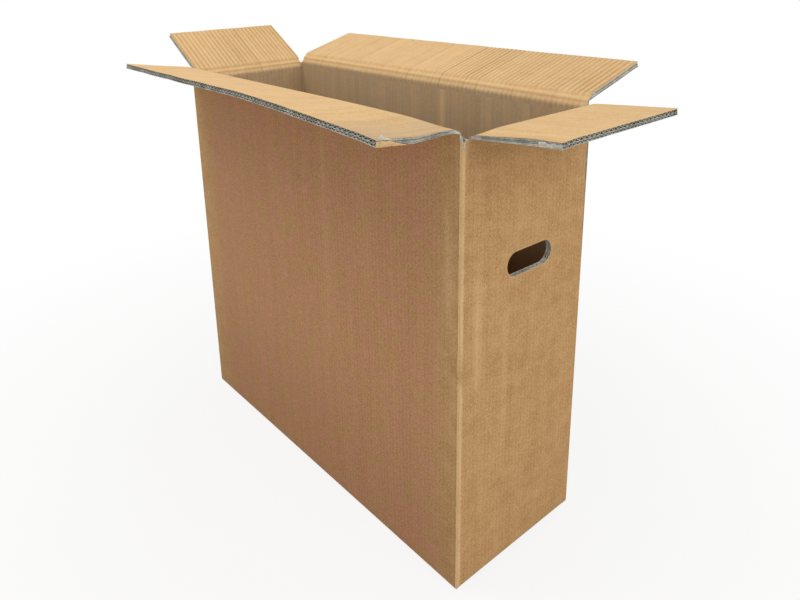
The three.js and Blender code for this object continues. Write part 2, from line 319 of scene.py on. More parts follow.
def tip_distance(u, v, half, along_edge, along_side):
    """How far a point lies beyond the slanted line that cuts off the +u tip of a flap."""
    start = np.array((half - along_edge, FLAP_DEPTH))
    end = np.array((half, FLAP_DEPTH - along_side))
    run = (end - start) / np.linalg.norm(end - start)
    return np.clip((u - start[0]) * -run[1] + (v - start[1]) * run[0], 0, None)


# Deeper lines pressed along some flutes of the inner liner, by place and depth
LINES = {
    "back": ((-19.75, 0.35), (51.35, 0.7), (98.75, 0.5), (122.45, 0.35)),
    "left": ((19.75, 0.5),),
}

HINGES = {h.name: h for h in (
    Hinge("front", (0, -1, 0), (1, 0, 0), LONG_CREASE, LONG_HALF, 9),
    Hinge("back", (0, 1, 0), (1, 0, 0), LONG_CREASE, LONG_HALF, 16),
    Hinge("right", (1, 0, 0), (0, 1, 0), END_CREASE, END_HALF, 5),
    Hinge("left", (-1, 0, 0), (0, 1, 0), END_CREASE, END_HALF, 31),
)}


def flute_columns(half, per_wave, pitch):
    """Places along a flap that follow its flutes, ending at its two sides."""
    count = math.floor(half / pitch * per_wave)
    inside = np.arange(-count, count + 1) * pitch / per_wave
    return np.concatenate([[-half], inside[np.abs(inside) < half - 0.3], [half]])


def board_columns(half):
    """Coarser places along a flap, closer together near its corners."""
    middle = np.arange(-half + 48, half - 47.9, 8.0)
    ends = np.arange(0, 48, 3.0)
    return np.unique(np.round(np.concatenate([-half + ends, middle, half - ends]), 3))


def wave_layer(u, wave, pitch, shift=0.0):
    """The lower and upper side of a fluted medium."""
    centre, height = wave
    phase = 2 * np.pi * u / pitch + shift
    middle = centre + height * np.cos(phase)
    slope = height * 2 * np.pi / pitch * np.sin(phase)
    half = MEDIUM / 2 * np.sqrt(1 + slope**2)
    return middle - half, middle + half


def ragged_sides(u, t, inset, number):
    """Places along a sheet of a flap, with its two cut sides never quite straight."""
    across = np.broadcast_to(u, t.shape).copy()
    for side in (0, -1):
        ragged = inset + 0.3 * np.abs(ripple(t[:, side], 0, 11, 40 + number))
        across[:, side] -= np.sign(u[side]) * ragged
    return across


def flap_rows(u, inset, seed):
    """Places out along a flap, to a cut edge that is never quite straight."""
    shares = np.array([0, 0.15, 0.33, 0.5, 0.66, 0.78, 0.87, 0.935, 0.975, 1.0])
    edge = FLAP_DEPTH - inset - 0.25 * np.abs(ripple(u, 0, 9, seed))
    return STRIP + (edge[None, :] - STRIP) * shares[:, None]


def layers_of(hinge):
    """Columns, lower and upper heights, insets and slots of a flap's five layers."""
    fine = flute_columns(hinge.half, 6, C_PITCH)
    b_fine = flute_columns(hinge.half, 8, B_PITCH)
    c_fine = flute_columns(hinge.half, 8, C_PITCH)
    coarse = board_columns(hinge.half)
    c_low, c_high = wave_layer(c_fine, C_WAVE, C_PITCH)
    b_low, b_high = wave_layer(b_fine, B_WAVE, B_PITCH, 0.7)
    flat = np.zeros(len(coarse))
    return (
        (coarse, flat, flat + PAPER, 0.0, 0.0, (OUTER, CUT, CUT)),
        (b_fine, b_low, b_high, 0.5, 0.8, BARE),
        (coarse, flat + MIDDLE_LINER[0], flat + MIDDLE_LINER[1], 0.3, 0.3, BARE),
        (c_fine, c_low, c_high, 0.6, 0.9, BARE),
        (fine, np.full(len(fine), BOARD - PAPER), np.full(len(fine), BOARD), 0.0, 0.0,
         (CUT, INNER, INNER)),
    )


def build_flap(hinge):
    """The board of a flap from its crease strip to its cut edge, layer by layer."""
    paper = PaperMesh()
    for number, (u, low, high, inset, side_inset, slots) in enumerate(layers_of(hinge)):
        t = flap_rows(u, inset, 20 + number)
        across = ragged_sides(u, t, side_inset, number)
        depth_and_darkening = hinge.washboard(across, t) if slots[1] == INNER else 0
        lower = hinge.place(across, t, low - depth_and_darkening)
        upper = hinge.place(across, t, high - depth_and_darkening)
        edge = smooth(t, FLAP_DEPTH - 3, FLAP_DEPTH) * 0.5
        # Furrow depth also darkens the inner liner as painted shade; the front corner is greyed
        paper.add(lower, upper, across + PATTERN_START[hinge.name], t, edge, slots,
                  depth_and_darkening=depth_and_darkening, tint_and_shade=hinge.tinted(across, t))
    return paper


def strip_rows(hinge):
    """Places across a crease, close together round the fold."""
    tangent = hinge.tangent
    run = np.array([STRIP, 12, 10, 8, 6, 4.5, 3.2, 2.2])
    run = run[run > tangent + 0.2]
    return np.concatenate([-run, np.linspace(-tangent, tangent, 9), run[::-1]])


def build_strip(hinge):
    """The crushed board across a crease: both liners and the flutes pressed between them."""
    paper = PaperMesh()
    u = flute_columns(hinge.half, 6, C_PITCH)
    t = strip_rows(hinge)[:, None] + 0 * u[None, :]
    layers = (
        (0.0, PAPER, 0.0, (OUTER, CUT, CUT)),
        (PAPER * 0.8, BOARD - PAPER, 0.5, BARE),
        (BOARD - PAPER, BOARD, 0.0, (CUT, INNER, INNER)),
    )
    for number, (low, high, inset, slots) in enumerate(layers):
        columns = ragged_sides(u, t, inset, number)
        depth_and_darkening = hinge.washboard(columns, t)
        bead = 0.25 * ripple(columns, 0, 13, 9) * hump(t, 0, 5)
        lower_sunk, upper_sunk = (depth_and_darkening - bead) * (number == 2), (depth_and_darkening - bead) * (number > 0)
        lower = hinge.place(columns, t, low - lower_sunk)
        upper = hinge.place(columns, t, high - upper_sunk)
        # Paler along the fold: partly rubbed liner, partly a painted highlight
        wear_and_highlight = 0.35 * hump(t, 0.5, 2.5)
        # Painted cold shade of the inside down the panel; the front flap's corner greyed
        shade = np.maximum(smooth(-t, 0, 12), hinge.tinted(columns, t))
        paper.add(lower, upper, columns + PATTERN_START[hinge.name], t, wear_and_highlight, slots,
                  depth_and_darkening=depth_and_darkening * (number == 2), tint_and_shade=shade * (number == 2))
    return paper


def panel_bow(place, height, half, seed):
    """How far a panel stands out from flat: it bows a little and is never quite even."""
    inside = smooth(half - np.abs(place), 4, 70)
    level = smooth(height, 25, 120) * smooth(-height, -545, -450)
    bow = size("panel_bow") * (1 - (place / half) ** 2)
    return (bow + 0.55 * ripple(place, height * 0.35, 90, seed)) * inside * level


def corner_profile(angle, radius):
    """A fold in the board, flatter in the middle than a quarter circle and edged by two
    small ridges. The angle runs from one panel to the next."""
    if radius < CORNER_RADIUS / 2:
        return radius
    middle = np.abs(angle - math.pi / 4)
    chamfer = math.cos(math.pi / 4) / np.cos(middle)
    return radius * (0.35 * chamfer + 0.65) - 0.22 * hump(middle, 0.30, 0.12)


def loop_columns(offset, radius, slot_end):
    """The stations round the tube at one depth in the board: place, direction outwards,
    distance round, and which part each belongs to. It starts at the raw edge of the right
    end panel and ends at the back right corner."""
    half_x, half_y = LENGTH / 2 - offset, WIDTH / 2 - offset
    end_y = np.concatenate([
        [END_HALF + 0.3, END_HALF], np.arange(96, 55, -8.0), np.linspace(55, -55, 15),
        np.arange(-63, -97, -8.0)[:5], [-96, -END_HALF, -END_HALF - 0.3],
    ])
    long_x = np.concatenate([
        [slot_end + 0.3, slot_end, slot_end - 4], np.arange(284, -285, -8.0),
        [4 - slot_end, -slot_end, -slot_end - 0.3],
    ])
    quarter = np.linspace(0, math.pi / 2, 15)
    stations = []

    def straight(normal, along, start, values, kind):
        for value in values:
            stations.append((start * normal + value * along, normal, kind, value))

    def turn(centre, first, kind):
        for angle in quarter:
            direction = first - angle
            normal = np.array((math.cos(direction), math.sin(direction)))
            reach = corner_profile(angle, radius)
            stations.append((centre + normal * reach, normal, kind, angle))

    x, y = np.array((1.0, 0.0)), np.array((0.0, 1.0))
    inset_x, inset_y = half_x - radius, half_y - radius
    straight(x, y, half_x, np.concatenate([[JOINT_EDGE], end_y]), "right")
    turn(np.array((inset_x, -inset_y)), 0, "near")
    straight(-y, x, half_y, long_x, "front")
    turn(np.array((-inset_x, -inset_y)), -math.pi / 2, "front_left")
    straight(-x, y, half_x, -end_y, "left")
    turn(np.array((-inset_x, inset_y)), math.pi, "back_left")
    straight(y, x, half_y, -long_x, "back")
    turn(np.array((inset_x, inset_y)), math.pi / 2, "joint")
    return stations


def sides_of(kind):
    """Which stations stand in a long wall, and which in an end wall."""
    return np.isin(kind, ("front", "back")), np.isin(kind, ("right", "left"))


def is_post(kind, value, slot_end):
    """Which stations stand between the flaps, at a corner of the tube."""
    long_side, end_side = sides_of(kind)
    beyond = np.where(long_side, slot_end, END_HALF) + 0.1
    return ~(long_side | end_side) | (np.abs(value) > beyond)


# Heights of the wall's rows, closer together at the knock and round the hand holes
WALL_ROWS = (20, 40, 70, 100, 130, 160, 190, 220, 250, 265, 275, 280, 285, 290, 295, 300,
             310, 325, 350, 377, 390, 409, 425, 441, 460, 480, 500, 520)
TOP_SHARES = (0.35, 0.7, 0.9, 1.0)


def wall_grid(offset, radius, slot_end):
    """The points of one side of a liner right round the walls. Only the outer liner folds
    in under the box at its foot."""
    stations = loop_columns(offset, radius, slot_end)
    place, normal, kind, value = (np.array(column) for column in zip(*stations))
    long_side, end_side = sides_of(kind)
    top = np.where(long_side, LONG_CREASE - STRIP, END_CREASE - STRIP)
    top = np.where(is_post(kind, value, slot_end), POST_TOP, top)
    turned = value / (math.pi / 2)
    to_long = np.isin(kind, ("near", "back_left"))
    base = END_BASE * np.select([long_side, end_side, to_long], [0, 1, 1 - turned], turned)

    fold = np.linspace(math.pi / 2, 0, 6) if offset < 1 else np.zeros(1)
    rows_in = BASE_FOLD * (1 - np.cos(fold))
    rows_up = BASE_FOLD * (1 - np.sin(fold)) if offset < 1 else np.array([BOARD])
    last = WALL_ROWS[-1]
    heights = [base + up for up in rows_up] + [np.full(len(base), z) for z in WALL_ROWS]
    heights += [last + (top - last) * share for share in TOP_SHARES]
    z = np.array(heights)
    inward = np.zeros(z.shape)
    inward[: len(rows_in)] = rows_in[:, None]

    half = np.where(long_side, LENGTH / 2, WIDTH / 2)
    seeds = {"right": 61, "front": 62, "left": 63, "back": 64}
    out = np.zeros(z.shape)
    for name, seed in seeds.items():
        here = kind == name
        out[:, here] = panel_bow(value[here][None, :], z[:, here], half[here][None, :], seed)
    out += corner_wrinkle(kind, value, z)
    points = np.zeros(z.shape + (3,))
    points[..., :2] = place[None] + normal[None] * (out - inward)[..., None]
    points[..., 2] = z
    points = open_joint(points, kind, value, z)
    around = np.concatenate([[0], np.cumsum(np.linalg.norm(np.diff(place, axis=0), axis=1))])
    return points, kind, value, z, around


def corner_wrinkle(kind, value, z):
    """The knock half way down the near corner, which pushed a small ridge out."""
    fold = np.where(kind == "near", 1.0, 0.0)
    fold += np.where(kind == "front", 0.3 * smooth(value, 266, 300), 0.0)
    beside = np.where(kind == "right", np.exp(-np.clip(value + 105, 0, None) / 10), 0.0)
    ridge = 2.6 * hump(z, KNOCK_HEIGHT + 6, 6.5) - 1.1 * hump(z, KNOCK_HEIGHT - 5, 4)
    ripples = 0.12 * ripple(z, 0, 30, 77)
    return (fold + beside)[None, :] * ridge + fold[None, :] * ripples


def open_joint(points, kind, value, z):
    """Draws the raw edge of the right end panel back from the corner, most at the top."""
    raw = (kind == "right") & (value > END_HALF + 2)
    back = 0.5 + size("joint_gap") * smooth(z, 297, 560)
    points[:, raw, 1] -= back[:, raw]
    return points


def torn_v(kind, value, depth, half_angle):
    """How far the top of the near corner post is torn down, in a V at its fold."""
    slope = 1 - np.abs(value - math.pi / 4) / half_angle
    return np.where(kind == "near", depth * np.clip(slope, 0, 1), 0)


def tear_top(grid, kind, value):
    """Lowers the top rows of the near corner post to a torn V."""
    rows = len(TOP_SHARES)
    share = np.clip((np.arange(len(grid)) - (len(grid) - rows - 1)) / rows, 0, 1)
    grid[..., 2] -= share[:, None] * torn_v(kind, value, *OUTER_TEAR)[None, :]
    return grid


def wear_of(kind, value, z, around):
    """Where the outer liner is rubbed pale: the folded corners, unevenly down them."""
    corner = np.isin(kind, ("near", "front_left", "back_left", "joint"))
    strength = np.where(kind == "near", smooth(value, 0.2, 0.75), 0.55)
    band = np.where(corner, strength * (1 - 0.4 * hump(value, math.pi * 0.40, 0.12)), 0)
    wear_and_highlight = band[None, :] * (0.85 + 0.2 * ripple(z, around[None, :] * 3, 40, 8))
    wear_and_highlight = wear_and_highlight * (1 - 0.5 * hump(z, KNOCK_HEIGHT, 14))
    for name, place, low, high, strength in RUBBED_LINES:
        line = np.where(kind == name, strength * hump(value, place, 5.0), 0)
        wear_and_highlight = wear_and_highlight + line[None, :] * smooth(z, low, low + 60) * smooth(-z, -high, 60 - high)
    return np.clip(wear_and_highlight, 0, 1)


# Pale lines rubbed along a flute: panel, place, height from and to, strength
RUBBED_LINES = (
    ("right", -84.0, 240, 440, 0.5), ("front", 284.0, 330, 520, 0.35),
    ("right", -40.0, 120, 380, 0.2), ("front", 60.0, 200, 560, 0.15),
)


def tint_of(kind, value):
    """The front panel painted redder and darker than the others, partly its own tone and
    partly painted shade, less so near its corners.
    """
    front = np.where(kind == "front", smooth(LENGTH / 2 - np.abs(value), 4, 75), 0)
    return front + np.where(kind == "back", 0.4, 0)


def inside_lines(kind, value):
    """The paler flute lines that show down the inside of the back panel."""
    back = np.where(kind == "back", 1.0, 0.0)
    lines = 0.10 * (1 + ripple(value, 0, 16, 27))
    for place, strength in ((-78, 0.35), (-3, 0.4), (60, 0.9), (146, 0.35), (210, 0.3)):
        lines = lines + strength * hump(value, place, 5.5)
    return np.clip(back * lines, 0, 1)


# The depth, in mm, at which the painted shade of a furrow, and of the lower inside, is darkest
DEEPEST = 2.2


def gloom(z):
    """How deep in shade the inside lies, on the scale of the furrows between flutes."""
    return DEEPEST * smooth(-z, -540, -310)


def window_mask(kind, value, z):
    """The faces of the wall that stand outside the windows of the two hand holes."""
    end = sides_of(kind)[1]
    inside = end[:-1] & end[1:]
    middle = (value[:-1] + value[1:]) / 2
    level = (z[:-1, :-1] + z[1:, :-1]) / 2
    in_window = inside & (np.abs(middle) < WINDOW[0])
    return ~(in_window[None, :] & (np.abs(level - HOLE_HEIGHT) < WINDOW[1]))


def build_walls():
    """The outer and inner liners of the four walls."""
    paper = PaperMesh()
    for offset, radius, slot_end, slots in (
        (0.0, CORNER_RADIUS, LONG_HALF, (CUT, OUTER, CUT)),
        (BOARD, INNER_RADIUS, INNER_SLOT_END, (INNER, CUT, INNER)),
    ):
        deeper = PAPER if offset == 0 else -PAPER
        near, kind, value, z, around = wall_grid(offset, radius, slot_end)
        far = wall_grid(offset + deeper, radius - deeper, slot_end)[0]
        if offset == 0:
            near, far = (tear_top(grid, kind, value) for grid in (near, far))
            wear_and_highlight, tint_and_shade = wear_of(kind, value, z, around), tint_of(kind, value)
            # The front panel painted darker towards its foot
            depth_and_darkening = 0.4 * smooth(-z, -260, -40) * (kind == "front")[None, :]
            upper, lower = near, far
        else:
            # Inside: painted cold shade, less on the paler lines, and painted darker lower down
            lines = inside_lines(kind, value)
            wear_and_highlight, tint_and_shade, depth_and_darkening = lines[None, :], 1 - 0.75 * lines, gloom(z)
            upper, lower = far, near
        keep = window_mask(kind, value, z)
        paper.add(lower, upper, around[None, :] + 0 * z, z, wear_and_highlight, slots, keep,
                  depth_and_darkening=depth_and_darkening, tint_and_shade=tint_and_shade[None, :])
    return paper


def build_cores():
    """The crushed flutes that show between the liners at the corner posts and the raw edge
    of the glued joint."""
    paper = PaperMesh()
    outer, kind, value, z, around = wall_grid(PAPER, CORNER_RADIUS - PAPER, LONG_HALF)
    inner = wall_grid(BOARD - PAPER, INNER_RADIUS + PAPER, INNER_SLOT_END)[0]
    columns = np.flatnonzero(is_post(kind, value, LONG_HALF))
    runs = np.split(columns, np.flatnonzero(np.diff(columns) > 1) + 1)
    for run in runs:
        lower, upper = inner[:, run].copy(), outer[5:, run].copy()
        for grid in (lower, upper):
            grid[-1, :, 2] -= 0.4 + 0.5 * np.abs(ripple(around[run], 0, 3, 33))
            grid[-1, :, 2] -= torn_v(kind[run], value[run], *CORE_TEAR)
        slots = (CUT, TORN, TORN) if "near" in kind[run] else BARE
        paper.add(lower, upper, around[None, run] + 0 * lower[..., 2], lower[..., 2], 0, slots)
    return paper


def flat_board(paper, x, y, z):
    """A level board with its grid of points."""
    xs, ys = np.linspace(*x, 12), np.linspace(*y, 8)
    grid_x, grid_y = np.meshgrid(xs, ys, indexing="ij")
    uneven = 0.15 * ripple(grid_x, grid_y, 80, 4)
    sides = [np.stack([grid_x, grid_y, np.full(grid_x.shape, level)], -1) for level in z]
    sides[1][..., 2] += uneven
    paper.add(sides[0], sides[1], grid_x, grid_y)


def build_base():
    """The closed bottom flaps: the long ones outside, meeting in a seam, the end ones in."""
    paper = PaperMesh()
    reach = WIDTH / 2 - BASE_FOLD + 0.4
    flat_board(paper, (-LONG_HALF, LONG_HALF), (-reach, SEAM[0]), (0.0, BOARD - 0.2))
    flat_board(paper, (-LONG_HALF, LONG_HALF), (SEAM[1], reach), (0.0, BOARD - 0.2))
    for side in (-1, 1):
        x = sorted((side * (LENGTH / 2 - BASE_FOLD + 0.4), side * (LENGTH / 2 - FLAP_DEPTH)))
        flat_board(paper, x, (-END_HALF, END_HALF), (END_BASE, 2 * BOARD - 0.2))
    return paper


LAP_WIDTH = 38.0


def build_lap():
    """The glue lap, pressed flat inside the right end panel."""
    paper = PaperMesh()
    y = np.linspace(WIDTH / 2 - BOARD - 0.2, WIDTH / 2 - BOARD - LAP_WIDTH, 9)
    share = np.linspace(0, 1, 30)
    taper = 12 * np.linspace(0, 1, len(y))
    low, high = 17 + taper, 550.5 - taper
    z = low[None, :] + (high - low)[None, :] * share[:, None]
    grid_y = np.broadcast_to(y, z.shape)
    bow = panel_bow(grid_y, z, WIDTH / 2, 61)
    face = LENGTH / 2 - BOARD + bow
    lower = np.stack([face, grid_y, z], -1)
    upper = np.stack([face - 4 + 0.2 * ripple(grid_y, z, 30, 14), grid_y, z], -1)
    # Painted with the inside's cold shade, and darker lower down as painted shade
    paper.add(lower, upper, grid_y, z, 0, (OUTER, INNER, CUT),
              depth_and_darkening=gloom(z), tint_and_shade=1.0)
    return paper


def hole_ring():
    """Points round a hand hole: the rectangle of its window, and its rounded edge."""
    wide, tall = WINDOW
    across = np.linspace(-wide, wide, 70)[:-1]
    upright = np.linspace(-tall, tall, 42)[:-1]
    y = np.concatenate([across, 0 * upright + wide, -across, 0 * upright - wide])
    z = np.concatenate([0 * across - tall, upright, 0 * across + tall, -upright])
    low, high = np.zeros(len(y)), np.ones(len(y))
    straight = HOLE_HALF - HOLE_RADIUS
    for _ in range(30):
        middle = (low + high) / 2
        dy = np.clip(np.abs(y * middle) - straight, 0, None)
        outside = np.hypot(dy, z * middle) > HOLE_RADIUS
        low, high = np.where(outside, low, middle), np.where(outside, middle, high)
    return np.stack([y, z], -1), np.stack([y * low, z * low], -1)


def build_hole(side):
    """The board round one hand hole, with the flutes that its cut edge lays open."""
    paper = PaperMesh()
    outer, inner = hole_ring()
    length = np.arange(len(outer)) * 1.3
    seed = 61 if side > 0 else 63
    layers = (
        (0.0, PAPER, 0.0, (OUTER, CUT, CUT)),
        (B_WAVE, B_PITCH, 0.6, BARE),
        (MIDDLE_LINER[0], MIDDLE_LINER[1], 0.3, BARE),
        (C_WAVE, C_PITCH, 0.7, BARE),
        (BOARD - PAPER, BOARD, 0.0, (CUT, INNER, INNER)),
    )
    for number, (low, high, inset, slots) in enumerate(layers):
        ragged = inset + 0.35 * np.abs(ripple(length, 0, 6, 50 + number))
        shares = np.array([0, 0.06, 0.14, 0.25, 0.5, 1.0])
        start = inner + (outer - inner) * (ragged / 20)[:, None]
        ring = start[:, None] + (outer - start)[:, None] * shares[None, :, None]
        y, z = ring[..., 0], ring[..., 1] + HOLE_HEIGHT
        if isinstance(low, tuple):
            lower_w, upper_w = wave_layer(y, low, high)
        else:
            lower_w, upper_w = np.full(y.shape, low), np.full(y.shape, high)
        bow = panel_bow(y, z, WIDTH / 2, seed)
        sheets = [np.stack([side * (LENGTH / 2 + bow - w), y, z], -1)
                  for w in (lower_w, upper_w)]
        wear_and_highlight = 0.3 * (1 - smooth(shares, 0, 0.12))[None, :] + 0 * y
        along = AROUND_END[side] + (-side * y)
        # The inner liner takes the inside's painted cold shade, darker lower down
        depth_and_darkening, tint_and_shade = (gloom(z), 1.0) if slots[1] == INNER else (0.0, 0.0)
        paper.add(sheets[0], sheets[1], along, z, wear_and_highlight, slots, ring=True, depth_and_darkening=depth_and_darkening, tint_and_shade=tint_and_shade)
    return paper


# Distance round the walls at the middle of each end panel
AROUND_END = {1: JOINT_EDGE, -1: JOINT_EDGE + WIDTH + LENGTH - 5}


def add_flake(paper, hinge, u, t, w, steps, wear_and_highlight, slots):
    """A flake of paper standing on a flap's side, between two steps along u."""
    t = t + 0 * w
    inside, outside = (hinge.place(u + step, t, w) for step in steps)
    paper.add(inside, outside, u + 0 * w, t, wear_and_highlight, slots)


def build_front_tear():
    """The crumpled outer liner that wraps up over the front flap's side at its near
    corner, and the torn fibres that stand up from it."""
    paper = PaperMesh()
    hinge = HINGES["front"]
    t = np.linspace(72, 109.5, 26)[:, None]
    rise = np.linspace(0, 1, 8)[None, :]
    height = (0.8 + 5.4 * smooth(t, 72, 98)) * (0.9 + 0.12 * ripple(t, 0, 9, 91))
    w = rise * height - 0.2
    bulge = 1.0 + 1.5 * np.sin(rise * np.pi * 0.8) * smooth(t, 74, 96)
    u = LONG_HALF + bulge * 0.8 + 0.5 * ripple(t, w * 2, 7, 92)
    add_flake(paper, hinge, u, t, w, (-0.45, 0), 0.7, (TORN, OUTER, TORN))

    t = np.linspace(88, 109, 20)[:, None]
    rise = np.linspace(0, 1, 7)[None, :]
    w = BOARD - 0.9 + rise * (4.6 * hump(t, 101, 6) * (0.85 + 0.25 * ripple(t, 0, 5, 95)))
    u = LONG_HALF + 0.6 - 1.6 * rise * hump(t, 101, 8) + 0.4 * ripple(t, w * 2, 5, 96)
    add_flake(paper, hinge, u, t, w, (-0.3, 0.3), 0.6, (TORN, TORN, TORN))
    return paper


def build_right_tear():
    """The torn grey fibres at the right flap's crushed near corner."""
    paper = PaperMesh()
    t = np.linspace(84, 109.6, 20)[:, None]
    rise = np.linspace(0, 1, 7)[None, :]
    w = 0.3 + rise * (4.6 + 0.8 * ripple(t, 0, 7, 99))
    u = -END_HALF - 0.2 - 0.5 * np.sin(rise * np.pi) + 0.25 * ripple(t, w * 2, 6, 98)
    add_flake(paper, HINGES["right"], u, t, w, (0.45, 0), 0.5, (TORN, TORN, TORN))
    return paper


def linear(hex_colour):
    """An sRGB hex colour as linear RGBA."""
    parts = [int(hex_colour[i:i + 2], 16) / 255 for i in (1, 3, 5)]
    return [p / 12.92 if p <= 0.04045 else ((p + 0.055) / 1.055) ** 2.4 for p in parts] + [1]


def add_node(tree, kind, inputs=None, output=0, **settings):
    """Adds a node and gives back one output. An input is a value, or another's output."""
    node = tree.nodes.new(kind)
    for name, value in settings.items():
        setattr(node, name, value)
    for name, value in (inputs or {}).items():
        if isinstance(value, bpy.types.NodeSocket):
            tree.links.new(value, node.inputs[name])
        else:
            node.inputs[name].default_value = value
    return node.outputs[output] if node.outputs else None


MATH, MIX, RANGE = "ShaderNodeMath", "ShaderNodeMix", "ShaderNodeMapRange"
PLACE, NOISE, RAMP = "ShaderNodeCombineXYZ", "ShaderNodeTexNoise", "ShaderNodeValToRGB"


def new_material(name):
    """An empty material and its node tree."""
    material = bpy.data.materials.new(name)
    material.use_nodes = True
    material.node_tree.nodes.clear()
    return material, material.node_tree


def paper_colour(tree, tone, low, high, colours):
    """A paper's colour where its tone runs from low, the dark one, to high, the pale one."""
    base, dark, pale = colours
    tone = add_node(tree, RANGE, {0: tone, 1: low, 2: high})
    colour = add_node(tree, RAMP, {0: tone})
    stops = colour.node.color_ramp.elements
    stops[0].color, stops[1].color = dark, pale
    stops.new(0.5).color = base
    return colour


def finish_paper(tree, colour, rough, shine, relief, strength, depth):
    """The matt surface of a paper, raised by its relief."""
    normal = add_node(tree, "ShaderNodeBump", {
        "Strength": strength, "Distance": depth, "Height": relief})
    shader = add_node(tree, "ShaderNodeBsdfPrincipled", {
        "Base Color": colour, "Roughness": rough, "Normal": normal, "IOR": 1.45,
        "Specular IOR Level": shine})
    add_node(tree, "ShaderNodeOutputMaterial", {0: shader})


# The papers' patterns are flat. They are taken at this depth of the noise, in metres,
# which lies between the planes where its fine grain lines up
NOISE_DEPTH = 0.0317


def liner_material(name, colours, tint_colour, patches, shares, pitch, bump):
    """Kraft paper over flutes: fibre mottling, soft clouds, streaks along the flutes, the
    faint lines of the flutes under it, rubbed places with a painted highlight along the
    creases, painted shade in furrows and low inside, and a tint that is partly the paper's
    own tone and partly painted shade."""
    tree = new_material(name)[1]
    *paper, worn_and_highlit = colours
    along, outward, wear_and_highlight, depth_and_darkening, tint_and_shade = (
        add_node(tree, "ShaderNodeAttribute", output="Fac", attribute_name=key) for key in MAPS)
    patterns = []
    for grain, stretch, detail, rough in (
        (size("fibre_clump"), 0.6, 4.0, 0.7), (size("cloud"), 1.3, 2.0, 0.5),
        (size("streak"), 0.04, 2.0, 0.5),
    ):
        drawn = add_node(tree, MATH, {0: outward, 1: stretch}, operation="MULTIPLY")
        place = add_node(tree, PLACE, {0: along, 1: drawn, 2: NOISE_DEPTH})
        patterns.append(add_node(tree, NOISE, {
            "Vector": place, "Scale": 1 / (grain * MM), "Detail": detail, "Roughness": rough}))
    fibre, cloud, streak = patterns
    turns = add_node(tree, MATH, {0: along, 1: 2 * math.pi / (pitch * MM)},
                     operation="MULTIPLY")
    wave = add_node(tree, MATH, {0: turns}, operation="COSINE")
    lines = add_node(tree, RANGE, {0: wave, 1: -1.0, 2: 1.0})
    tone = 0.0
    for part, share in zip((fibre, cloud, streak, lines), shares):
        tone = add_node(tree, MATH, {0: part, 1: share, 2: tone}, operation="MULTIPLY_ADD")
    colour = paper_colour(tree, tone, 0.38, 0.62, paper)
    # Paler where rubbed, and along the creases as a painted highlight
    patchy = add_node(tree, RANGE, {0: fibre, 1: 0.25, 2: 0.6, 3: 0.55, 4: 1.0})
    rubbed = add_node(tree, MATH, {0: wear_and_highlight, 1: patchy}, operation="MULTIPLY", use_clamp=True)
    colour = add_node(tree, MIX, {0: rubbed, 6: colour, 7: worn_and_highlit}, 2, data_type="RGBA")
    # Painted shade, darker deep in furrows and low inside; also the front panel's darker foot
    furrow = add_node(tree, RANGE, {0: depth_and_darkening, 2: DEEPEST})
    colour = add_node(tree, MIX, {0: furrow, 6: colour, 7: DARKENING_TINT}, 2,
                      data_type="RGBA", blend_type="MULTIPLY")
    # Tint: front panel redder, part own tone, part painted shade; inside painted in cold shade
    uneven = add_node(tree, RANGE, {0: cloud, 1: 0.4, 2: 0.6, 3: patches[0], 4: patches[1]})
    tinted = add_node(tree, MATH, {0: tint_and_shade, 1: uneven}, operation="MULTIPLY", use_clamp=True)
    colour = add_node(tree, MIX, {0: tinted, 6: colour, 7: tint_colour}, 2,
                      data_type="RGBA", blend_type="MULTIPLY")
    relief = add_node(tree, MATH, {0: fibre, 1: 0.07, 2: 0.0}, operation="MULTIPLY_ADD")
    relief = add_node(tree, MATH, {0: lines, 1: bump, 2: relief}, operation="MULTIPLY_ADD")
    rough = add_node(tree, RANGE, {0: fibre, 1: 0.2, 2: 0.8, 3: 0.72, 4: 0.9})
    finish_paper(tree, colour, rough, 0.3, relief, 0.6, MM)


# What multiplies a liner's colour: painted shade deep in a furrow and low inside the carton,
# also the front panel's darkening towards its foot; on the front panel, partly its own
# redder tone and partly painted shade; on the inside, painted cold shade, and the greyer
# front flap corner
DARKENING_TINT = (0.22, 0.12, 0.06, 1)
RED_TONE_AND_SHADE = (0.94, 0.80, 0.97, 1)
GREY_AND_SHADE_TINT = (0.68, 0.73, 0.90, 1)


def fibre_material(name, hex_colours, depth):
    """Bare recycled fibre, as at a cut or torn edge."""
    tree = new_material(name)[1]
    place = add_node(tree, "ShaderNodeTexCoord", output="Object")
    shreds = add_node(tree, NOISE, {"Vector": place, "Scale": 1 / (size("shred") * MM),
                                    "Detail": 3.0, "Roughness": 0.65})
    patches = add_node(tree, NOISE, {"Vector": place, "Scale": 1 / (14 * MM)})
    tone = add_node(tree, MIX, {0: 0.4, 2: shreds, 3: patches})
    colours = [linear(value) for value in hex_colours]
    colour = paper_colour(tree, tone, 0.36, 0.64, colours)
    finish_paper(tree, colour, 0.92, 0.2, shreds, 0.8, depth)


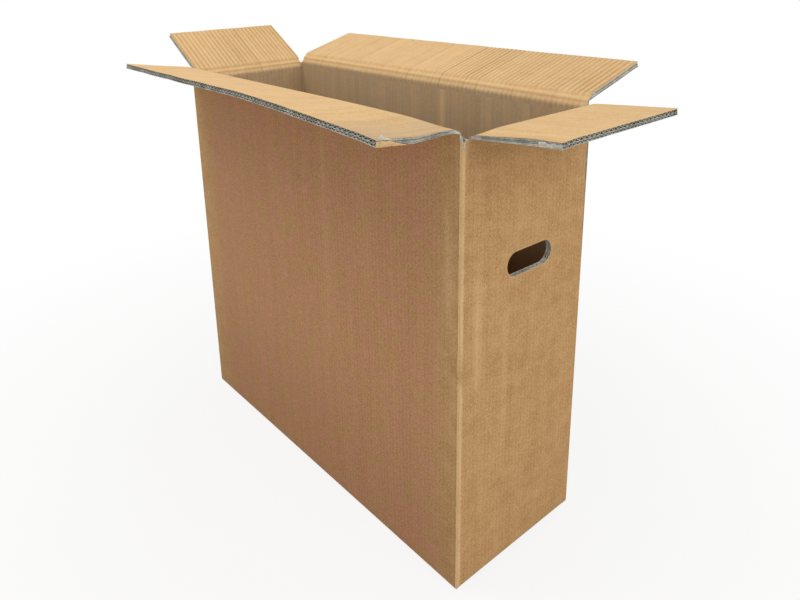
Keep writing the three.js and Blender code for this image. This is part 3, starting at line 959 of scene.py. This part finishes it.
def make_papers(colours):
    """The four materials of the board."""
    outer, inner = (
        [[*getattr(colours, key), 1] for key in (side, side + "_dark", side + "_pale", "worn_and_highlit")]
        for side in ("outer", "inner"))
    # Kraft liner, machine glazed: reddish tan with long fibres and faint flute lines
    liner_material("outer_kraft_liner", outer, RED_TONE_AND_SHADE, (0.35, 1.3),
                   (0.72, 0.2, 0.08, 0.03), B_PITCH, 0.03)
    # Test liner of the inner side: paler and yellower, drawn down between the wide flutes
    liner_material("inner_kraft_liner", inner, GREY_AND_SHADE_TINT, (0.85, 1.1),
                   (0.6, 0.15, 0.25, 0.05), C_PITCH, 0.06)
    # Recycled fluting medium: grey with dark and pale shreds at a sawn edge
    fibre_material("recycled_fluting", ("#b9b9b0", "#838582", "#dcdad0"), 0.3 * MM)
    # The same fibre torn instead of cut: fluffed up and much paler
    fibre_material("torn_fibre", ("#c4c0b4", "#949187", "#e4e0d4"), 0.8 * MM)


def ColourProperty(name, description, hex_colour):
    """A colour that the user can change."""
    return FloatVectorProperty(name=name, description=description, subtype="COLOR",
                               default=linear(hex_colour)[:3])


def LengthProperty(name, description, default, low=0.0, high=100.0):
    """A size that the user can change, given here in millimetres."""
    return FloatProperty(name=name, description=description, default=default * MM,
                         min=low * MM, max=high * MM, unit="LENGTH", precision=5)


def PowerProperty(name, description, default):
    """The power of a lamp that the user can change, in watts."""
    return FloatProperty(name=name, description=description, default=default, min=0,
                         unit="POWER")


class CartonColours(bpy.types.PropertyGroup):
    """The colours of the papers."""
    outer: ColourProperty("Outer kraft", "Outer liner", "#b8905f")
    outer_dark: ColourProperty("Outer kraft, dark", "Darkest part of the outer liner", "#a27a4d")
    outer_pale: ColourProperty("Outer kraft, pale", "Palest part of the outer liner", "#c9a272")
    inner: ColourProperty("Inner kraft", "Inner liner", "#ddb783")
    inner_dark: ColourProperty("Inner kraft, dark", "Darkest part of the inner liner", "#cfa671")
    inner_pale: ColourProperty("Inner kraft, pale", "Palest part of the inner liner", "#e6c491")
    # Also the colour of the painted highlight along the creases
    worn_and_highlit: ColourProperty("Rubbed kraft", "Liner rubbed pale at the folds", "#e6c290")


class CartonSizes(bpy.types.PropertyGroup):
    """How far the board gives way, and the grain of its papers."""
    furrow: LengthProperty(
        "Furrow depth", "How far the inner liner sinks between flutes", 0.75, high=1.2)
    crushed_board: LengthProperty(
        "Board at the crease", "Thickness left where a crease crushes it", 3.1, 2.0, 5.0)
    front_sag: LengthProperty(
        "Front flap sag", "How far the front flap's corner bends down", 8.6, high=12.0)
    crease_dip: LengthProperty(
        "Front crease dip", "How far the front crease dips at the corner", 1.6, high=3.0)
    panel_bow: LengthProperty(
        "Panel bow", "How far the middle of each wall stands out", 1.3, high=4.0)
    joint_gap: LengthProperty(
        "Joint gap", "How far the glued joint stands open at the top", 3.4, high=3.5)
    fibre_clump: LengthProperty("Fibre clumps", "Size of the liners' fine mottling", 1.6, 0.2)
    cloud: LengthProperty(
        "Formation clouds", "Size of the liners' soft uneven patches", 22.0, 1.0)
    streak: LengthProperty("Streaks", "Spacing of the streaks along the flutes", 9.0, 1.0)
    shred: LengthProperty("Shreds", "Size of the shreds in bare recycled fibre", 1.2, 0.2)


class CartonLight(bpy.types.PropertyGroup):
    """The studio light."""
    sky: FloatProperty(name="Room light", description="Even light from all round",
                       default=0.66, min=0)
    key: PowerProperty("Key light", "Power of the large light, right and above", 24.0)
    top: PowerProperty("Top light", "Power of the light above the left end", 9.0)


class CARTON_OT_papers(bpy.types.Operator):
    """Make the kraft, fluting and torn paper materials"""
    bl_idname = "carton.papers"
    bl_label = "Papers"

    def execute(self, context):
        make_papers(context.scene.carton_colours)
        return {"FINISHED"}


class CARTON_OT_walls(bpy.types.Operator):
    """Build the four walls, their corner posts and the glue lap"""
    bl_idname = "carton.walls"
    bl_label = "Walls"

    def execute(self, context):
        walls = build_walls().make("walls")
        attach(walls, "box")
        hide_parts("box_body")
        for name, paper in (("corner_cores", build_cores()), ("glue_lap", build_lap())):
            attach(paper.make(name), "box")
        return {"FINISHED"}


class CARTON_OT_base(bpy.types.Operator):
    """Build the closed bottom flaps"""
    bl_idname = "carton.base"
    bl_label = "Base"

    def execute(self, context):
        base = build_base().make("bottom_flaps")
        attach(base, "box")
        return {"FINISHED"}


class CARTON_OT_hand_holes(bpy.types.Operator):
    """Build the board round the two hand holes"""
    bl_idname = "carton.hand_holes"
    bl_label = "Hand holes"

    def execute(self, context):
        for side, name in ((1, "right_hand_hole"), (-1, "left_hand_hole")):
            hole = build_hole(side).make(name)
            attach(hole, "box")
        return {"FINISHED"}


class CARTON_OT_flap(bpy.types.Operator):
    """Build one top flap and the strip of board that bends at its crease"""
    bl_idname = "carton.flap"
    bl_label = "Flap"
    side: StringProperty(name="Side", description="Which flap", default="front")

    def execute(self, context):
        hinge = HINGES[self.side]
        body = self.side + "_flap"
        board = build_flap(hinge).make(self.side + "_flap_board")
        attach(board, body)
        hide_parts(body)
        strip = build_strip(hinge).make(self.side + "_crease")
        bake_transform(strip)
        return {"FINISHED"}


class CARTON_OT_tears(bpy.types.Operator):
    """Build the torn and crumpled corners of the front and right flaps"""
    bl_idname = "carton.tears"
    bl_label = "Torn corners"

    def execute(self, context):
        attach(build_front_tear().make("front_corner_tear"), "front_flap")
        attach(build_right_tear().make("right_corner_tear"), "right_flap")
        return {"FINISHED"}


CAMERA_PLACE = (763.909, -600.838, 738.311)
CAMERA_HEADING, CAMERA_TILT, CAMERA_ROLL = (math.radians(a) for a in (140.447, -16.099, 1.328))
FOCAL_PIXELS = 694.969
OPTICAL_CENTRE = (377.917, 163.375)
IMAGE = (800, 600)
SENSOR = 36.0


def make_camera():
    """The camera at the photograph's place, angle and framing."""
    data = bpy.data.cameras.new("camera")
    data.sensor_width = SENSOR
    data.lens = FOCAL_PIXELS * SENSOR / IMAGE[0]
    data.shift_x = (IMAGE[0] / 2 - OPTICAL_CENTRE[0]) / IMAGE[0]
    data.shift_y = (OPTICAL_CENTRE[1] - IMAGE[1] / 2) / IMAGE[0]
    camera = add_object("camera", data)
    level = math.cos(CAMERA_TILT)
    ahead = Vector((level * math.cos(CAMERA_HEADING), level * math.sin(CAMERA_HEADING),
                    math.sin(CAMERA_TILT)))
    right = ahead.cross(Vector((0, 0, 1))).normalized()
    down = ahead.cross(right)
    turn, tilt = math.cos(CAMERA_ROLL), math.sin(CAMERA_ROLL)
    right, down = right * turn + down * tilt, down * turn - right * tilt
    axes = Matrix((right, -down, -ahead)).transposed().to_4x4()
    camera.matrix_world = Matrix.Translation(Vector(CAMERA_PLACE) * MM) @ axes
    bpy.context.scene.camera = camera


def straight_view(tree):
    """1 for rays that show the surroundings as they are, 0 for those that light the box."""
    seen = 0.0
    for ray in ("Is Camera Ray", "Is Glossy Ray", "Is Transmission Ray"):
        part = add_node(tree, "ShaderNodeLightPath", output=ray)
        seen = add_node(tree, MATH, {0: part, 1: seen}, operation="MAXIMUM")
    return seen


def make_lamp(name, place, width, watts, colour):
    """A round studio lamp that faces the middle of the box. Places are in metres."""
    data = bpy.data.lights.new(name, "AREA")
    data.shape, data.size, data.energy, data.color = "DISK", width, watts, colour
    lamp = add_object(name, data)
    lamp.location = place
    lamp.rotation_euler = (Vector((0, 0, 0.35)) - Vector(place)).to_track_quat(
        "-Z", "Y").to_euler()


# In metres: the floor is a disk, just under the box so that the two never flicker
FLOOR_RADIUS, FLOOR_GAP = 4.0, 0.0006


class CARTON_OT_stage(bpy.types.Operator):
    """Make the floor, the white surroundings, the lamps and the camera"""
    bl_idname = "carton.stage"
    bl_label = "Stage"

    def execute(self, context):
        scene = context.scene
        light = scene.carton_light
        scene.view_settings.view_transform = "Standard"
        world = bpy.data.worlds.new("studio")
        scene.world = world
        world.use_nodes = True
        world.node_tree.nodes.clear()
        tree = world.node_tree
        strength = add_node(tree, RANGE, {0: straight_view(tree), 3: light.sky, 4: 1.0})
        back = add_node(tree, "ShaderNodeBackground", {0: (1, 1, 1, 1), 1: strength})
        add_node(tree, "ShaderNodeOutputWorld", {0: back})

        # Painted floor: near white and matt, so that it keeps a faint shadow
        material, tree = new_material("pale_painted_floor")
        place = add_node(tree, "ShaderNodeTexCoord", output="Object")
        grain = add_node(tree, NOISE, {"Vector": place, "Scale": 1 / (40 * MM)})
        colour = add_node(tree, MIX, {0: grain, 6: linear("#d9d9d7"), 7: linear("#e0e0de")},
                          2, data_type="RGBA")
        matt = add_node(tree, "ShaderNodeBsdfDiffuse", {0: colour})
        white = add_node(tree, "ShaderNodeEmission", {0: (1, 1, 1, 1), 1: 1.0})
        away = add_node(tree, "ShaderNodeVectorMath", {0: place}, "Value", operation="LENGTH")
        share = add_node(tree, RANGE, {0: away, 1: 0.35, 2: 1.1, 3: 0.85, 4: 1.0})
        share = add_node(tree, MATH, {0: straight_view(tree), 1: share}, operation="MULTIPLY")
        mixed = add_node(tree, "ShaderNodeMixShader", {0: share, 1: matt, 2: white})
        add_node(tree, "ShaderNodeOutputMaterial", {0: mixed})
        mesh = bpy.data.meshes.new("floor")
        turns = np.linspace(0, 2 * np.pi, 65)[:-1]
        ring = [(FLOOR_RADIUS * math.cos(a), FLOOR_RADIUS * math.sin(a), 0) for a in turns]
        mesh.from_pydata(ring, [], [list(range(len(ring)))])
        mesh.materials.append(material)
        floor = add_object("floor", mesh)
        floor.location.z = -FLOOR_GAP

        make_lamp("key", (2.6, 0.2, 1.7), 2.2, light.key, (1.0, 0.95, 0.88))
        make_lamp("top", (-0.45, -0.8, 1.9), 0.9, light.top, (1.0, 0.96, 0.88))
        make_camera()
        return {"FINISHED"}


STEPS = [(step, {}) for step in ("papers", "walls", "base", "hand_holes")]
STEPS += [("flap", {"side": side}) for side in HINGES]
STEPS += [(step, {}) for step in ("tears", "stage")]


class CARTON_PT_panel(bpy.types.Panel):
    """Lists the pieces of the carton"""
    bl_label = "Carton"
    bl_idname = "CARTON_PT_panel"
    bl_space_type = "VIEW_3D"
    bl_region_type = "UI"
    bl_category = "Carton"

    def draw(self, context):
        for group in ("carton_sizes", "carton_colours", "carton_light"):
            settings = getattr(context.scene, group)
            for name in settings.bl_rna.properties.keys():
                if name not in ("rna_type", "name"):
                    self.layout.prop(settings, name)
        for step, values in STEPS:
            button = self.layout.operator("carton." + step)
            for name, value in values.items():
                setattr(button, name, value)


CLASSES = (
    CartonColours, CartonSizes, CartonLight, CARTON_OT_papers, CARTON_OT_walls, CARTON_OT_base,
    CARTON_OT_hand_holes, CARTON_OT_flap, CARTON_OT_tears, CARTON_OT_stage, CARTON_PT_panel,
)


def register():
    for cls in CLASSES:
        bpy.utils.register_class(cls)
    bpy.types.Scene.carton_colours = PointerProperty(type=CartonColours)
    bpy.types.Scene.carton_sizes = PointerProperty(type=CartonSizes)
    bpy.types.Scene.carton_light = PointerProperty(type=CartonLight)


def unregister():
    del bpy.types.Scene.carton_light
    del bpy.types.Scene.carton_sizes
    del bpy.types.Scene.carton_colours
    for cls in reversed(CLASSES):
        bpy.utils.unregister_class(cls)


def main():
    register()
    for step, values in STEPS:
        getattr(bpy.ops.carton, step)(**values)


if __name__ == "__main__":
    main()
